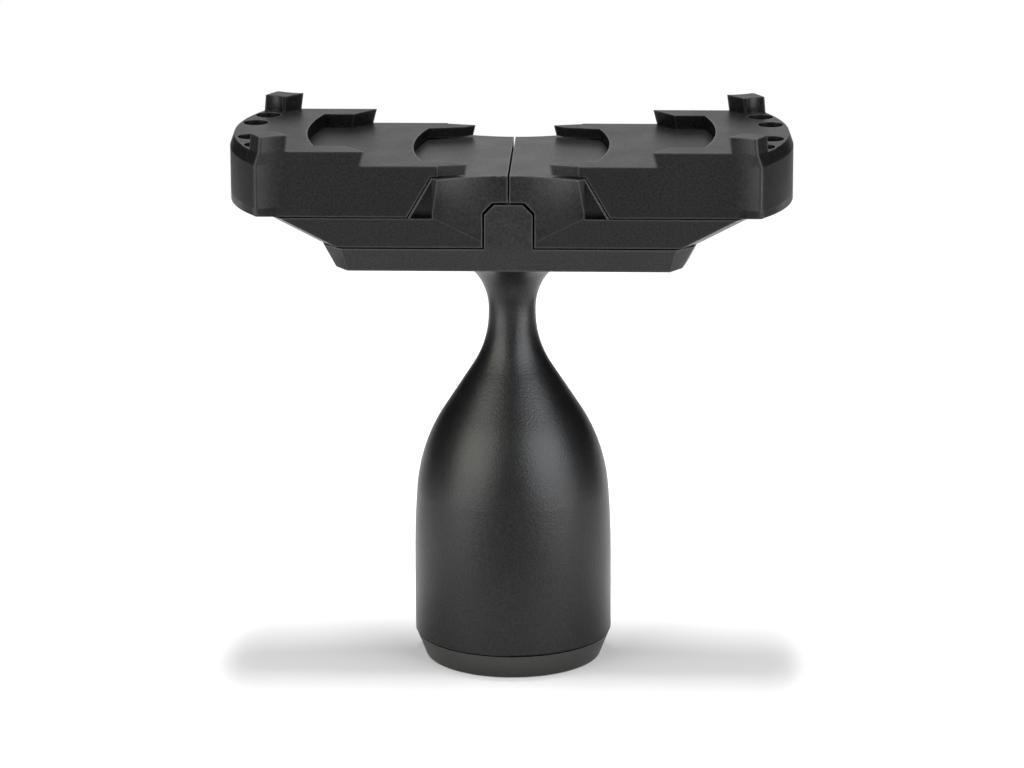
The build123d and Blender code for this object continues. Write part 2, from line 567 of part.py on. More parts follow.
def jaw():
    # chamfered foot, upright middle, drafted top
    outlines = [jaw_plan(0, FOOT_FLARE, JAW_BOTTOM_Z),
                jaw_plan(0, PILASTER_FLARE, PILASTER_FOOT_Z),
                jaw_plan(0, PILASTER_FLARE, DRAFT_FOOT_Z),
                jaw_plan(LAND_SHIFT, PILASTER_FLARE, SEAT_HIGH_Z),
                jaw_plan(TAB_SHIFT, PILASTER_FLARE, TAB_TOP_Z)]
    layers = [loft([low, high], ruled=True) for low, high in zip(outlines, outlines[1:])]
    body = layers[0] + layers[1:]
    # corner tabs stand above the high seat, each hollowed where it passes the outer peg hole
    tab = tab_prism() - rod_between(PEG_HOLES[1][0], TAB_BACK_Y - PEG_CLEARANCE,
                                    (SEAT_HIGH_Z - PAST, TAB_TOP_Z + PAST), PEG_CLEARANCE)
    above = box_between((-PAST, JAW_END_X + PAST), (-HALF_DEPTH - PAST, HALF_DEPTH + PAST),
                        (SEAT_HIGH_Z, TAB_TOP_Z + PAST))
    body -= above - front_and_back(tab)
    # the middle seat, then the low seat whose floor is the carriage
    mid_arms = [(MID_DIAGONAL_X, ARM_INNER_Y), (MID_TIP_X, HALF_DEPTH)]
    body -= seat_cut(MID_ARC_CORNER_X, mid_arms, (SEAT_MID_Z, SEAT_HIGH_Z))
    low_arms = [(INNER_ARM_X, INNER_ARM_Y), (INNER_TIP_X, INNER_TIP_Y)]
    body -= seat_cut(INNER_ARC_CORNER_X, low_arms, (ROOF_BOTTOM_Z - SLIDE_GAP, SEAT_MID_Z))
    # the low arms taper in plan from a small step in the jaw's side
    step_slope = (ARM_STEP_Y - INNER_TIP_Y) / (ARM_STEP_IN_X - INNER_TIP_X)
    arm_side = plan_prism([(INNER_TIP_X - PAST, -INNER_TIP_Y + step_slope * PAST),
                           (ARM_STEP_IN_X, -ARM_STEP_Y), (ARM_STEP_X, -HALF_DEPTH),
                           (ARM_STEP_X, -HALF_DEPTH - PAST), (INNER_TIP_X - PAST, -HALF_DEPTH - PAST)],
                          (JAW_BOTTOM_Z, SEAT_MID_Z + PAST))
    body -= front_and_back(arm_side)
    # the channel for the rail and the slanting inner end of the side walls
    body -= box_between((-PAST, CHANNEL_END_X), (-JAW_WALL_Y, JAW_WALL_Y),
                        (JAW_BOTTOM_Z - PAST, ROOF_BOTTOM_Z))
    body -= front_and_back(toe_cut())
    ridge_y = RAIL_HALF_DEPTH - RIDGE_DEPTH + SLIDE_GAP
    ridge = box_between(RIDGE_SPAN_X, (ridge_y, JAW_WALL_Y + CUT_OVER), (RIDGE_BOTTOM_Z, RIDGE_TOP_Z))
    body += front_and_back(ridge)
    body -= box_between(END_CORE_X, (-END_CORE_HALF, END_CORE_HALF), (JAW_BOTTOM_Z - PAST, END_CORE_TOP_Z))
    # peg holes along the bowed end, the spring post's hole, the grooves of the stop screws
    for x, y in PEG_HOLES:
        for side in (1, -1):
            body -= rod_between(x, side * y, (SEAT_HIGH_Z - PEG_DEPTH, TAB_TOP_Z + PAST), PEG_RADIUS)
    body -= rod_between(JAW_POST_X, 0, (ROOF_BOTTOM_Z - PAST, SEAT_HIGH_Z - POST_ROOF), PIN_HOLE_RADIUS)
    for y in (-JAW_STOP_Y, JAW_STOP_Y):
        groove = extrude(SlotCenterToCenter(STROKE, 2 * (STOP_SHANK_RADIUS + SLIDE_GAP)),
                         JAW_STOP_TIP_Z + SLIDE_GAP - ROOF_BOTTOM_Z + PAST)
        body -= Pos(JAW_STOP_X - STROKE / 2, y, ROOF_BOTTOM_Z - PAST) * groove
    return body


def jaw_spring_post():
    post_top_z = SEAT_HIGH_Z - POST_ROOF - FIT_GAP
    return rod_between(JAW_POST_X, 0, (JAW_SPRING_Z - POST_REACH, post_top_z), PIN_RADIUS)


def write(shape, name):
    export_step(shape, "parts/" + name + ".step")


os.makedirs("parts", exist_ok=True)

centre_pieces = {
    "grip_shell": grip_shell(),
    "base_cap": base_cap(),
    "foot_pad": foot_pad(),
    "ballast_weight": ballast_weight(),
    "head_washer": head_washer(),
    "head_bolt": head_bolt(),
    "thread_insert": thread_insert(),
    "head_bracket": head_bracket(),
    "hub_spring_pin": hub_spring_pin(),
}
side_pieces = {
    "carriage": carriage(),
    "carriage_spring_pin": carriage_spring_pin(),
    "carriage_stop_screw": carriage_stop_screw(),
    "jaw_stop_screws": jaw_stop_screws(),
    "jaw_spring": spring_between(CARRIAGE_PIN_X, JAW_POST_X, JAW_SPRING_Z, 0),
    "jaw": jaw(),
    "jaw_spring_post": jaw_spring_post(),
}
for name, shape in centre_pieces.items():
    write(shape, name)
for name, shape in side_pieces.items():
    write(shape, name + "_right")
    write(mirror(shape, about=Plane.YZ), name + "_left")
for side, lift in (("right", EYE_OFFSET_Z), ("left", -EYE_OFFSET_Z)):
    spring = spring_between(0, CARRIAGE_PIN_X, CARRIAGE_SPRING_Z, lift)
    if side == "left":
        spring = mirror(spring, about=Plane.YZ)
    write(spring, "carriage_spring_" + side)
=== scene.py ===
import math

import bmesh
import bpy
from mathutils import Matrix, Vector


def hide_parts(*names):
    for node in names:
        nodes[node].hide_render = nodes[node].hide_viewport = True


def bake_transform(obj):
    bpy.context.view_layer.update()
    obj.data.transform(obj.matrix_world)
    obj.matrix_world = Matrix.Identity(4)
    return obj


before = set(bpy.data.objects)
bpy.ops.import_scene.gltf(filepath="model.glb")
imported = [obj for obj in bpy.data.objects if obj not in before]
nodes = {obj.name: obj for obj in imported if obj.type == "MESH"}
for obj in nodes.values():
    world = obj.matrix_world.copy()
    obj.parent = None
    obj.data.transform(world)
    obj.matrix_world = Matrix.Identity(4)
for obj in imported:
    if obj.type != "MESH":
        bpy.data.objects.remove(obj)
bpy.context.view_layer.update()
MM = 0.001


# Grip shell: the bottle-shaped body held in the hand.
# One hollow polypropylene moulding, black, with a satin surface and a fine even grain from the mould.
# It stands on the base cap and carries the head on its neck.
def ink(code):
    """A colour written as sRGB hex, as linear red, green, blue and alpha."""
    channels = [int(code[i:i + 2], 16) / 255 for i in (1, 3, 5)]
    linear = [c / 12.92 if c <= 0.04045 else ((c + 0.055) / 1.055) ** 2.4 for c in channels]
    return (*linear, 1.0)


def add_node(tree, kind, inputs=None, **settings):
    """Adds a node; settings are its options, inputs the values or outputs that feed its sockets."""
    made = tree.nodes.new(kind)
    for name, value in settings.items():
        setattr(made, name, value)
    for name, value in (inputs or {}).items():
        if isinstance(value, bpy.types.NodeSocket):
            tree.links.new(value, made.inputs[name])
        else:
            made.inputs[name].default_value = value
    return made


def blank_material(name):
    """An empty node material and its tree."""
    material = bpy.data.materials.new(name)
    material.use_nodes = True
    material.node_tree.nodes.clear()
    return material, material.node_tree


def finish_nodes(material, *names):
    """Gives CAD nodes their finish."""
    for name in names:
        mesh = nodes[name].data
        mesh.materials.clear()
        mesh.materials.append(material)


# satin moulded polypropylene: soft broad highlights, and a gloss that handling has made slightly uneven
# its grain is drawn coarser than the mould's own, so that it shows
GRIP_GRAIN = 0.45 * MM
GRIP_GRAIN_DEPTH = 0.06 * MM
GRIP_SHEEN_PATCH = 14 * MM
GRIP_SMOOTHEST = 0.34
GRIP_ROUGHEST = 0.39
# the part of a noise's range that its tones, and its changes of gloss, are spread over
TONE_LOW = 0.32
TONE_HIGH = 0.68
GLOSS_LOW = 0.3
GLOSS_HIGH = 0.7
grip_plastic, tree = blank_material("satin_moulded_polypropylene")
place = add_node(tree, "ShaderNodeTexCoord").outputs["Object"]
grain = add_node(tree, "ShaderNodeTexNoise", {"Vector": place, "Scale": 1 / GRIP_GRAIN, "Detail": 2.0})
patches = add_node(tree, "ShaderNodeTexNoise", {
    "Vector": place, "Scale": 1 / GRIP_SHEEN_PATCH, "Detail": 3.0})
tone = add_node(tree, "ShaderNodeValToRGB", {"Fac": grain.outputs["Fac"]})
tone.color_ramp.elements[0].position = TONE_LOW
tone.color_ramp.elements[0].color = ink("#030304")
tone.color_ramp.elements[1].position = TONE_HIGH
tone.color_ramp.elements[1].color = ink("#1a1a1b")
gloss = add_node(tree, "ShaderNodeMapRange", {
    "Value": patches.outputs["Fac"], "From Min": GLOSS_LOW, "From Max": GLOSS_HIGH,
    "To Min": GRIP_SMOOTHEST, "To Max": GRIP_ROUGHEST})
relief = add_node(tree, "ShaderNodeBump", {
    "Height": grain.outputs["Fac"], "Strength": 1.0, "Distance": GRIP_GRAIN_DEPTH})
skin = add_node(tree, "ShaderNodeBsdfPrincipled", {
    "Base Color": tone.outputs["Color"], "Roughness": gloss.outputs["Result"], "IOR": 1.49,
    "Specular IOR Level": 0.36, "Normal": relief.outputs["Normal"]})
add_node(tree, "ShaderNodeOutputMaterial", {"Surface": skin.outputs["BSDF"]})
finish_nodes(grip_plastic, "grip_shell")


# Base cap: the tapered plug that closes the grip below the seam.
# Moulded ABS in an olive black, a little lighter and more matt than the grip, pushed into the shell.
# Its grain, too, is drawn coarser than the mould's own.
CAP_GRAIN = 0.4 * MM
CAP_GRAIN_DEPTH = 0.02 * MM
cap_plastic, tree = blank_material("matt_moulded_abs")
place = add_node(tree, "ShaderNodeTexCoord").outputs["Object"]
grain = add_node(tree, "ShaderNodeTexNoise", {"Vector": place, "Scale": 1 / CAP_GRAIN, "Detail": 2.0})
tone = add_node(tree, "ShaderNodeValToRGB", {"Fac": grain.outputs["Fac"]})
tone.color_ramp.elements[0].color = ink("#23221f")
tone.color_ramp.elements[1].color = ink("#2c2b27")
relief = add_node(tree, "ShaderNodeBump", {
    "Height": grain.outputs["Fac"], "Strength": 0.3, "Distance": CAP_GRAIN_DEPTH})
skin = add_node(tree, "ShaderNodeBsdfPrincipled", {
    "Base Color": tone.outputs["Color"], "Roughness": 0.44, "IOR": 1.54,
    "Specular IOR Level": 0.62, "Normal": relief.outputs["Normal"]})
add_node(tree, "ShaderNodeOutputMaterial", {"Surface": skin.outputs["BSDF"]})
finish_nodes(cap_plastic, "base_cap")


# Foot pad: the thin disc under the cap that keeps the handle from sliding.
# Die-cut black rubber, glued on, with a dusty matt face.
RUBBER_DUST = 0.8 * MM
RUBBER_DUST_DEPTH = 0.04 * MM
pad_rubber, tree = blank_material("die_cut_rubber")
place = add_node(tree, "ShaderNodeTexCoord").outputs["Object"]
dust = add_node(tree, "ShaderNodeTexNoise", {"Vector": place, "Scale": 1 / RUBBER_DUST, "Detail": 4.0})
tone = add_node(tree, "ShaderNodeValToRGB", {"Fac": dust.outputs["Fac"]})
tone.color_ramp.elements[0].color = ink("#1b1b1b")
tone.color_ramp.elements[1].color = ink("#2a2a29")
relief = add_node(tree, "ShaderNodeBump", {
    "Height": dust.outputs["Fac"], "Strength": 0.4, "Distance": RUBBER_DUST_DEPTH})
skin = add_node(tree, "ShaderNodeBsdfPrincipled", {
    "Base Color": tone.outputs["Color"], "Roughness": 0.85, "IOR": 1.52,
    "Specular IOR Level": 0.3, "Normal": relief.outputs["Normal"]})
add_node(tree, "ShaderNodeOutputMaterial", {"Surface": skin.outputs["BSDF"]})
finish_nodes(pad_rubber, "foot_pad")


# Ballast, bolt, washer, pins and screws: the hidden hardware.
# Zinc plated steel, turned or cold headed, with the plating's faint cloudiness.
def bright_steel(name, mark, detail, dark, light, smoothest, roughest):
    """Bright steel with marks of one size that change its tone and its roughness a little."""
    metal, tree = blank_material(name)
    place = add_node(tree, "ShaderNodeTexCoord").outputs["Object"]
    marks = add_node(tree, "ShaderNodeTexNoise", {"Vector": place, "Scale": 1 / mark, "Detail": detail})
    tone = add_node(tree, "ShaderNodeValToRGB", {"Fac": marks.outputs["Fac"]})
    tone.color_ramp.elements[0].color = ink(dark)
    tone.color_ramp.elements[1].color = ink(light)
    gloss = add_node(tree, "ShaderNodeMapRange", {
        "Value": marks.outputs["Fac"], "To Min": smoothest, "To Max": roughest})
    skin = add_node(tree, "ShaderNodeBsdfPrincipled", {
        "Base Color": tone.outputs["Color"], "Metallic": 1.0, "Roughness": gloss.outputs["Result"]})
    add_node(tree, "ShaderNodeOutputMaterial", {"Surface": skin.outputs["BSDF"]})
    return metal


PLATING_CLOUD = 1.5 * MM
SIDES = ("right", "left")
steel = bright_steel("zinc_plated_steel", PLATING_CLOUD, detail=3.0, dark="#9fa3a6", light="#c3c6c8",
                     smoothest=0.24, roughest=0.42)
finish_nodes(steel, "ballast_weight", "head_bolt", "head_washer", "hub_spring_pin")
for side in SIDES:
    for name in ("carriage_spring_pin", "carriage_stop_screw", "jaw_stop_screws", "jaw_spring_post"):
        finish_nodes(steel, f"{name}_{side}")


# Thread insert: the bush in the neck that the head's bolt screws into.
# Turned brass, moulded in, with fine turning marks round its axis.
TURNING_PITCH = 0.15708 * MM
TURNING_DEPTH = 0.01 * MM
# a wave of scale 1 repeats at this length
WAVE_LENGTH = math.pi / 10
brass, tree = blank_material("turned_brass")
place = add_node(tree, "ShaderNodeTexCoord").outputs["Object"]
marks = add_node(tree, "ShaderNodeTexWave", {
    "Vector": place, "Scale": WAVE_LENGTH / TURNING_PITCH, "Distortion": 1.0},
    wave_type="BANDS", bands_direction="Z")
tone = add_node(tree, "ShaderNodeValToRGB", {"Fac": marks.outputs["Fac"]})
tone.color_ramp.elements[0].color = ink("#b08d4e")
tone.color_ramp.elements[1].color = ink("#cdaa66")
relief = add_node(tree, "ShaderNodeBump", {
    "Height": marks.outputs["Fac"], "Strength": 0.2, "Distance": TURNING_DEPTH})
skin = add_node(tree, "ShaderNodeBsdfPrincipled", {
    "Base Color": tone.outputs["Color"], "Metallic": 1.0, "Roughness": 0.3,
    "Normal": relief.outputs["Normal"]})
add_node(tree, "ShaderNodeOutputMaterial", {"Surface": skin.outputs["BSDF"]})
finish_nodes(brass, "thread_insert")


# Head bracket, carriages and jaws: the stepped clamp.
# Black ABS mouldings with a spark-eroded texture on every face and edges eased by the mould.
# The bracket is bolted to the neck; the carriages slide on it, and the jaws on the carriages.
HEAD_PATCH = 9 * MM
HEAD_PATCH_ROUGHNESS = 0.03
EDGE_EASE = 0.25 * MM
HUB_EDGE_EASE = 0.05 * MM
# the texture is drawn coarser than a spark leaves it, so that it shows
SPARK_GRAIN = 0.5 * MM
SPARK_DEPTH = 0.04 * MM
SPARK_ROUGHNESS = 0.05
# a highlight is painted within this distance of a convex edge; it starts and is full where these shares of
# inward rays meet no face
EDGE_HIGHLIGHT_REACH = 0.4 * MM
EDGE_HIGHLIGHT_STARTS = 0.92
EDGE_HIGHLIGHT_IS_FULL = 0.55


def textured_abs(name, dark, light, rough, level, ease):
    """Spark textured ABS: fine pitted grain, uneven sheen, and a highlight painted lighter along its edges.
    """
    plastic, tree = blank_material(name)
    place = add_node(tree, "ShaderNodeTexCoord").outputs["Object"]
    spark = add_node(tree, "ShaderNodeTexNoise", {"Vector": place, "Scale": 1 / SPARK_GRAIN, "Detail": 2.0})
    patches = add_node(tree, "ShaderNodeTexNoise", {
        "Vector": place, "Scale": 1 / HEAD_PATCH, "Detail": 3.0})
    tone = add_node(tree, "ShaderNodeValToRGB", {"Fac": spark.outputs["Fac"]})
    tone.color_ramp.elements[0].position = TONE_LOW
    tone.color_ramp.elements[0].color = ink(dark)
    tone.color_ramp.elements[1].position = TONE_HIGH
    tone.color_ramp.elements[1].color = ink(light)
    eased = add_node(tree, "ShaderNodeBevel", {"Radius": ease}, samples=6)
    depth = add_node(tree, "ShaderNodeAmbientOcclusion", {"Distance": EDGE_HIGHLIGHT_REACH},
                     inside=True, only_local=True, samples=4)
    edge_highlight_share = add_node(tree, "ShaderNodeMapRange", {
        "Value": depth.outputs["AO"], "From Min": EDGE_HIGHLIGHT_STARTS, "From Max": EDGE_HIGHLIGHT_IS_FULL,
        "To Min": 0.0, "To Max": 1.0})
    # inputs 6 and 7 and output 2 of the mix are its colours
    # painted highlight: near convex edges the colour is mixed towards a light grey
    painted_highlight = add_node(tree, "ShaderNodeMix", {
        "Factor": edge_highlight_share.outputs["Result"], 6: tone.outputs["Color"], 7: ink("#434344")}, data_type="RGBA")
    sheen = add_node(tree, "ShaderNodeMapRange", {
        "Value": patches.outputs["Fac"], "From Min": GLOSS_LOW, "From Max": GLOSS_HIGH,
        "To Min": rough - HEAD_PATCH_ROUGHNESS, "To Max": rough + HEAD_PATCH_ROUGHNESS})
    pitted = add_node(tree, "ShaderNodeMapRange", {
        "Value": spark.outputs["Fac"], "From Min": GLOSS_LOW, "From Max": GLOSS_HIGH,
        "To Min": -SPARK_ROUGHNESS, "To Max": SPARK_ROUGHNESS})
    gloss = add_node(tree, "ShaderNodeMath", {
        0: sheen.outputs["Result"], 1: pitted.outputs["Result"]}, operation="ADD")
    relief = add_node(tree, "ShaderNodeBump", {
        "Height": spark.outputs["Fac"], "Strength": 0.6, "Distance": SPARK_DEPTH,
        "Normal": eased.outputs["Normal"]})
    skin = add_node(tree, "ShaderNodeBsdfPrincipled", {
        "Base Color": painted_highlight.outputs[2], "Roughness": gloss.outputs[0], "IOR": 1.54,
        "Specular IOR Level": level, "Normal": relief.outputs["Normal"]})
    add_node(tree, "ShaderNodeOutputMaterial", {"Surface": skin.outputs["BSDF"]})
    return plastic


bracket_plastic = textured_abs("spark_textured_abs_bracket", dark="#030304", light="#1c1c1d", rough=0.4,
                               level=0.36, ease=HUB_EDGE_EASE)
carriage_plastic = textured_abs("spark_textured_abs_carriage", dark="#030304", light="#1b1b1c", rough=0.4,
                                level=0.23, ease=EDGE_EASE)
jaw_plastic = textured_abs("spark_textured_abs_jaw", dark="#020203", light="#19191a", rough=0.42,
                           level=0.18, ease=EDGE_EASE)
finish_nodes(bracket_plastic, "head_bracket")
for side in SIDES:
    finish_nodes(carriage_plastic, f"carriage_{side}")
    finish_nodes(jaw_plastic, f"jaw_{side}")


# Springs: one from the hub to each carriage and one from each carriage to its jaw.
# Close wound music wire with an eye at each end, which hooks over a pin and stretches as the clamp opens.
# The two eyes on the hub's pin lie one above the other.
COIL_RADIUS = 1.95 * MM
WIRE_RADIUS = 0.35 * MM
EYE_RADIUS = 1.65 * MM
END_GAP = 3.6 * MM
EYE_LIFT = 0.4 * MM
CARRIAGE_SPRING_Z = 104.5 * MM
JAW_SPRING_Z = 112.0 * MM
CARRIAGE_PIN_X = 30.0 * MM
JAW_POST_X = 49.0 * MM
PITCH_IN_WIRE_RADII = 2.1
COIL_STEPS = 20
EYE_STEPS = 28
WIRE_SIDES = 10

# drawn music wire: bright steel with the faint mottle that the drawing die leaves
DRAWING_MARK = 0.12 * MM
wire_steel = bright_steel("drawn_music_wire", DRAWING_MARK, detail=2.0, dark="#8e9193", light="#b9bcbe",
                          smoothest=0.22, roughest=0.36)

winding = bpy.data.node_groups.new("wound_spring", "GeometryNodeTree")
winding.interface.new_socket("Geometry", in_out="OUTPUT", socket_type="NodeSocketGeometry")
SPRING_SIZES = {"Coil Radius": COIL_RADIUS, "Wire Radius": WIRE_RADIUS, "Eye Radius": EYE_RADIUS,
                "End Gap": END_GAP}
SPRING_INPUTS = {}
for label in ("From X", "To X", "Height", "Eye Lift", *SPRING_SIZES):
    socket = winding.interface.new_socket(label, in_out="INPUT", socket_type="NodeSocketFloat")
    SPRING_INPUTS[label] = socket.identifier
size = add_node(winding, "NodeGroupInput").outputs

# the coil lies along X between the gaps left for the eyes
reach = add_node(winding, "ShaderNodeMath", {0: size["To X"], 1: size["From X"]}, operation="SUBTRACT")
gaps = add_node(winding, "ShaderNodeMath", {0: size["End Gap"], 1: 2.0}, operation="MULTIPLY")
wound = add_node(winding, "ShaderNodeMath", {0: reach.outputs[0], 1: gaps.outputs[0]}, operation="SUBTRACT")
pitch = add_node(winding, "ShaderNodeMath", {0: size["Wire Radius"], 1: PITCH_IN_WIRE_RADII},
                 operation="MULTIPLY")
turns = add_node(winding, "ShaderNodeMath", {0: wound.outputs[0], 1: pitch.outputs[0]}, operation="DIVIDE")
helix = add_node(winding, "GeometryNodeCurveSpiral", {
    "Resolution": COIL_STEPS, "Rotations": turns.outputs[0], "Start Radius": size["Coil Radius"],
    "End Radius": size["Coil Radius"], "Height": wound.outputs[0]})
first_coil = add_node(winding, "ShaderNodeMath", {0: size["From X"], 1: size["End Gap"]}, operation="ADD")
coil_place = add_node(winding, "ShaderNodeCombineXYZ", {"X": first_coil.outputs[0], "Z": size["Height"]})
laid = add_node(winding, "GeometryNodeTransform", {
    "Geometry": helix.outputs["Curve"], "Translation": coil_place.outputs[0],
    "Rotation": (0.0, math.pi / 2, 0.0)})
joined = add_node(winding, "GeometryNodeJoinGeometry", {"Geometry": laid.outputs[0]})

# an eye goes round each pin, and a leg runs from it to the coil's rim, on the side that the eye is lifted to
near_z = add_node(winding, "ShaderNodeMath", {0: size["Height"], 1: size["Eye Lift"]}, operation="ADD")
drops = add_node(winding, "ShaderNodeMath", {0: size["Eye Lift"], 1: 0.0}, operation="LESS_THAN")
side_sign = add_node(winding, "ShaderNodeMath", {0: drops.outputs[0], 1: -2.0, 2: 1.0},
                     operation="MULTIPLY_ADD")
near_rim = add_node(winding, "ShaderNodeMath", {
    0: side_sign.outputs[0], 1: size["Coil Radius"], 2: size["Height"]}, operation="MULTIPLY_ADD")
far_rim = add_node(winding, "ShaderNodeMath", {0: size["Height"], 1: size["Coil Radius"]}, operation="ADD")
for pin_x, eye_z, rim_z, inward in (("From X", near_z.outputs[0], near_rim.outputs[0], 1.0),
                                    ("To X", size["Height"], far_rim.outputs[0], -1.0)):
    eye_place = add_node(winding, "ShaderNodeCombineXYZ", {"X": size[pin_x], "Z": eye_z})
    ring = add_node(winding, "GeometryNodeCurvePrimitiveCircle", {
        "Resolution": EYE_STEPS, "Radius": size["Eye Radius"]})
    eye = add_node(winding, "GeometryNodeTransform", {
        "Geometry": ring.outputs["Curve"], "Translation": eye_place.outputs[0]})
    leg_start = add_node(winding, "ShaderNodeMath", {0: size["Eye Radius"], 1: inward, 2: size[pin_x]},
                         operation="MULTIPLY_ADD")
    leg_end = add_node(winding, "ShaderNodeMath", {0: size["End Gap"], 1: inward, 2: size[pin_x]},
                       operation="MULTIPLY_ADD")
    foot = add_node(winding, "ShaderNodeCombineXYZ", {"X": leg_start.outputs[0], "Z": eye_z})
    tip = add_node(winding, "ShaderNodeCombineXYZ", {"X": leg_end.outputs[0], "Z": rim_z})
    leg = add_node(winding, "GeometryNodeCurvePrimitiveLine", {
        "Start": foot.outputs[0], "End": tip.outputs[0]})
    winding.links.new(eye.outputs[0], joined.inputs[0])
    winding.links.new(leg.outputs[0], joined.inputs[0])
section = add_node(winding, "GeometryNodeCurvePrimitiveCircle", {
    "Resolution": WIRE_SIDES, "Radius": size["Wire Radius"]})
drawn = add_node(winding, "GeometryNodeCurveToMesh", {
    "Curve": joined.outputs[0], "Profile Curve": section.outputs["Curve"], "Fill Caps": True})
smooth = add_node(winding, "GeometryNodeSetShadeSmooth", {"Geometry": drawn.outputs[0]})
real = add_node(winding, "GeometryNodeRealizeInstances", {"Geometry": smooth.outputs[0]})
dressed = add_node(winding, "GeometryNodeSetMaterial", {
    "Geometry": real.outputs[0], "Material": wire_steel})
add_node(winding, "NodeGroupOutput", {"Geometry": dressed.outputs[0]})


def wind_spring(name, from_x, to_x, height, eye_lift):
    """Winds one spring between two pins as a plain mesh object."""
    blank = bpy.data.objects.new(name, bpy.data.meshes.new(name))
    bpy.context.scene.collection.objects.link(blank)
    modifier = blank.modifiers.new("winding", "NODES")
    modifier.node_group = winding
    places = {"From X": from_x, "To X": to_x, "Height": height, "Eye Lift": eye_lift}
    for label, value in {**places, **SPRING_SIZES}.items():
        modifier[SPRING_INPUTS[label]] = value
    graph = bpy.context.evaluated_depsgraph_get()
    mesh = bpy.data.meshes.new_from_object(blank.evaluated_get(graph))
    blank.modifiers.remove(modifier)
    blank.data = mesh
    return blank


for side, sign, eye_lift in (("right", 1, EYE_LIFT), ("left", -1, -EYE_LIFT)):
    for name, from_x, to_x, height, lift, near_body, far_body in (
            ("carriage_spring", 0.0, CARRIAGE_PIN_X, CARRIAGE_SPRING_Z, eye_lift, "handle", "carriage"),
            ("jaw_spring", CARRIAGE_PIN_X, JAW_POST_X, JAW_SPRING_Z, 0.0, "carriage", "jaw")):
        spring = wind_spring(f"{name}_wire_{side}", from_x, to_x, height, lift)
        if sign < 0:
            spring.data.transform(Matrix.Scale(-1, 4, (1, 0, 0)))
            spring.data.flip_normals()
        near = near_body if near_body == "handle" else f"{near_body}_{side}"
        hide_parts(f"{name}_{side}")
        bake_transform(spring)


# Studio: a pale floor that keeps the shadow, a white surround, two soft boxes in front and a strip overhead.
# Bright cards by the boxes and on the floor, a dark curtain and dark cloths show only in the gloss.
def seen_as_backdrop(tree):
    """1 on camera, glossy and transmission rays, which see the backdrop, and 0 on rays that light things."""
    path = add_node(tree, "ShaderNodeLightPath").outputs
    straight = add_node(tree, "ShaderNodeMath", {0: path["Is Camera Ray"], 1: path["Is Glossy Ray"]},
                        operation="MAXIMUM")
    seen = add_node(tree, "ShaderNodeMath", {0: straight.outputs[0], 1: path["Is Transmission Ray"]},
                    operation="MAXIMUM")
    return seen.outputs[0]


# white paper: it shows its shadow near the handle and turns plain white further out
FLOOR_HALF = 4.0
WHITE_FROM = 0.18
WHITE_AT = 0.5
WHITE_SHARE_NEAR = 0.15
floor_mesh = bpy.data.meshes.new("studio_floor")
floor_mesh.from_pydata([(-FLOOR_HALF, -FLOOR_HALF, 0), (FLOOR_HALF, -FLOOR_HALF, 0),
                        (FLOOR_HALF, FLOOR_HALF, 0), (-FLOOR_HALF, FLOOR_HALF, 0)], [], [(0, 1, 2, 3)])
floor = bpy.data.objects.new("studio_floor", floor_mesh)
bpy.context.scene.collection.objects.link(floor)
paper, tree = blank_material("white_paper")
seen = seen_as_backdrop(tree)
place = add_node(tree, "ShaderNodeTexCoord").outputs["Object"]
away = add_node(tree, "ShaderNodeVectorMath", {0: place}, operation="LENGTH")
whiter = add_node(tree, "ShaderNodeMapRange", {
    "Value": away.outputs["Value"], "From Min": WHITE_FROM, "From Max": WHITE_AT,
    "To Min": WHITE_SHARE_NEAR, "To Max": 1.0}, interpolation_type="SMOOTHSTEP")
share = add_node(tree, "ShaderNodeMath", {0: seen, 1: whiter.outputs["Result"]}, operation="MULTIPLY")
matt = add_node(tree, "ShaderNodeBsdfDiffuse", {"Color": ink("#fafafa"), "Roughness": 1.0})
glow = add_node(tree, "ShaderNodeEmission", {"Color": ink("#ffffff"), "Strength": 1.0})
mix = add_node(tree, "ShaderNodeMixShader", {0: share.outputs[0], 1: matt.outputs[0], 2: glow.outputs[0]})
add_node(tree, "ShaderNodeOutputMaterial", {"Surface": mix.outputs[0]})
floor_mesh.materials.append(paper)

# black curtain: it stands round the set, open behind the handle, and its cloths lie flat on the floor
CURTAIN_RADIUS = 1.6
CURTAIN_HEIGHT = 3.0
CURTAIN_REACH = 164
CURTAIN_STEP = 4
CLOTH_LIFT = 0.003
# nearest and furthest radius, then first and last azimuth in degrees; the side cloths lie on both sides
SIDE_CLOTHS = ((0.5, CURTAIN_RADIUS, 72, 156), (0.17, 0.3, 100, 136))
FRONT_CLOTH = (0.09, 0.16, -40, 40)


def add_strip(drape, first, last, one_edge, other_edge):
    """Adds a strip round the set from azimuth first to last, with each edge's radius and height."""
    before = None
    for azimuth in range(first, last + 1, CURTAIN_STEP):
        turn = math.radians(azimuth)
        pair = [drape.verts.new((radius * math.sin(turn), -radius * math.cos(turn), height))
                for radius, height in (one_edge, other_edge)]
        if before:
            drape.faces.new((before[0], before[1], pair[1], pair[0]))
        before = pair


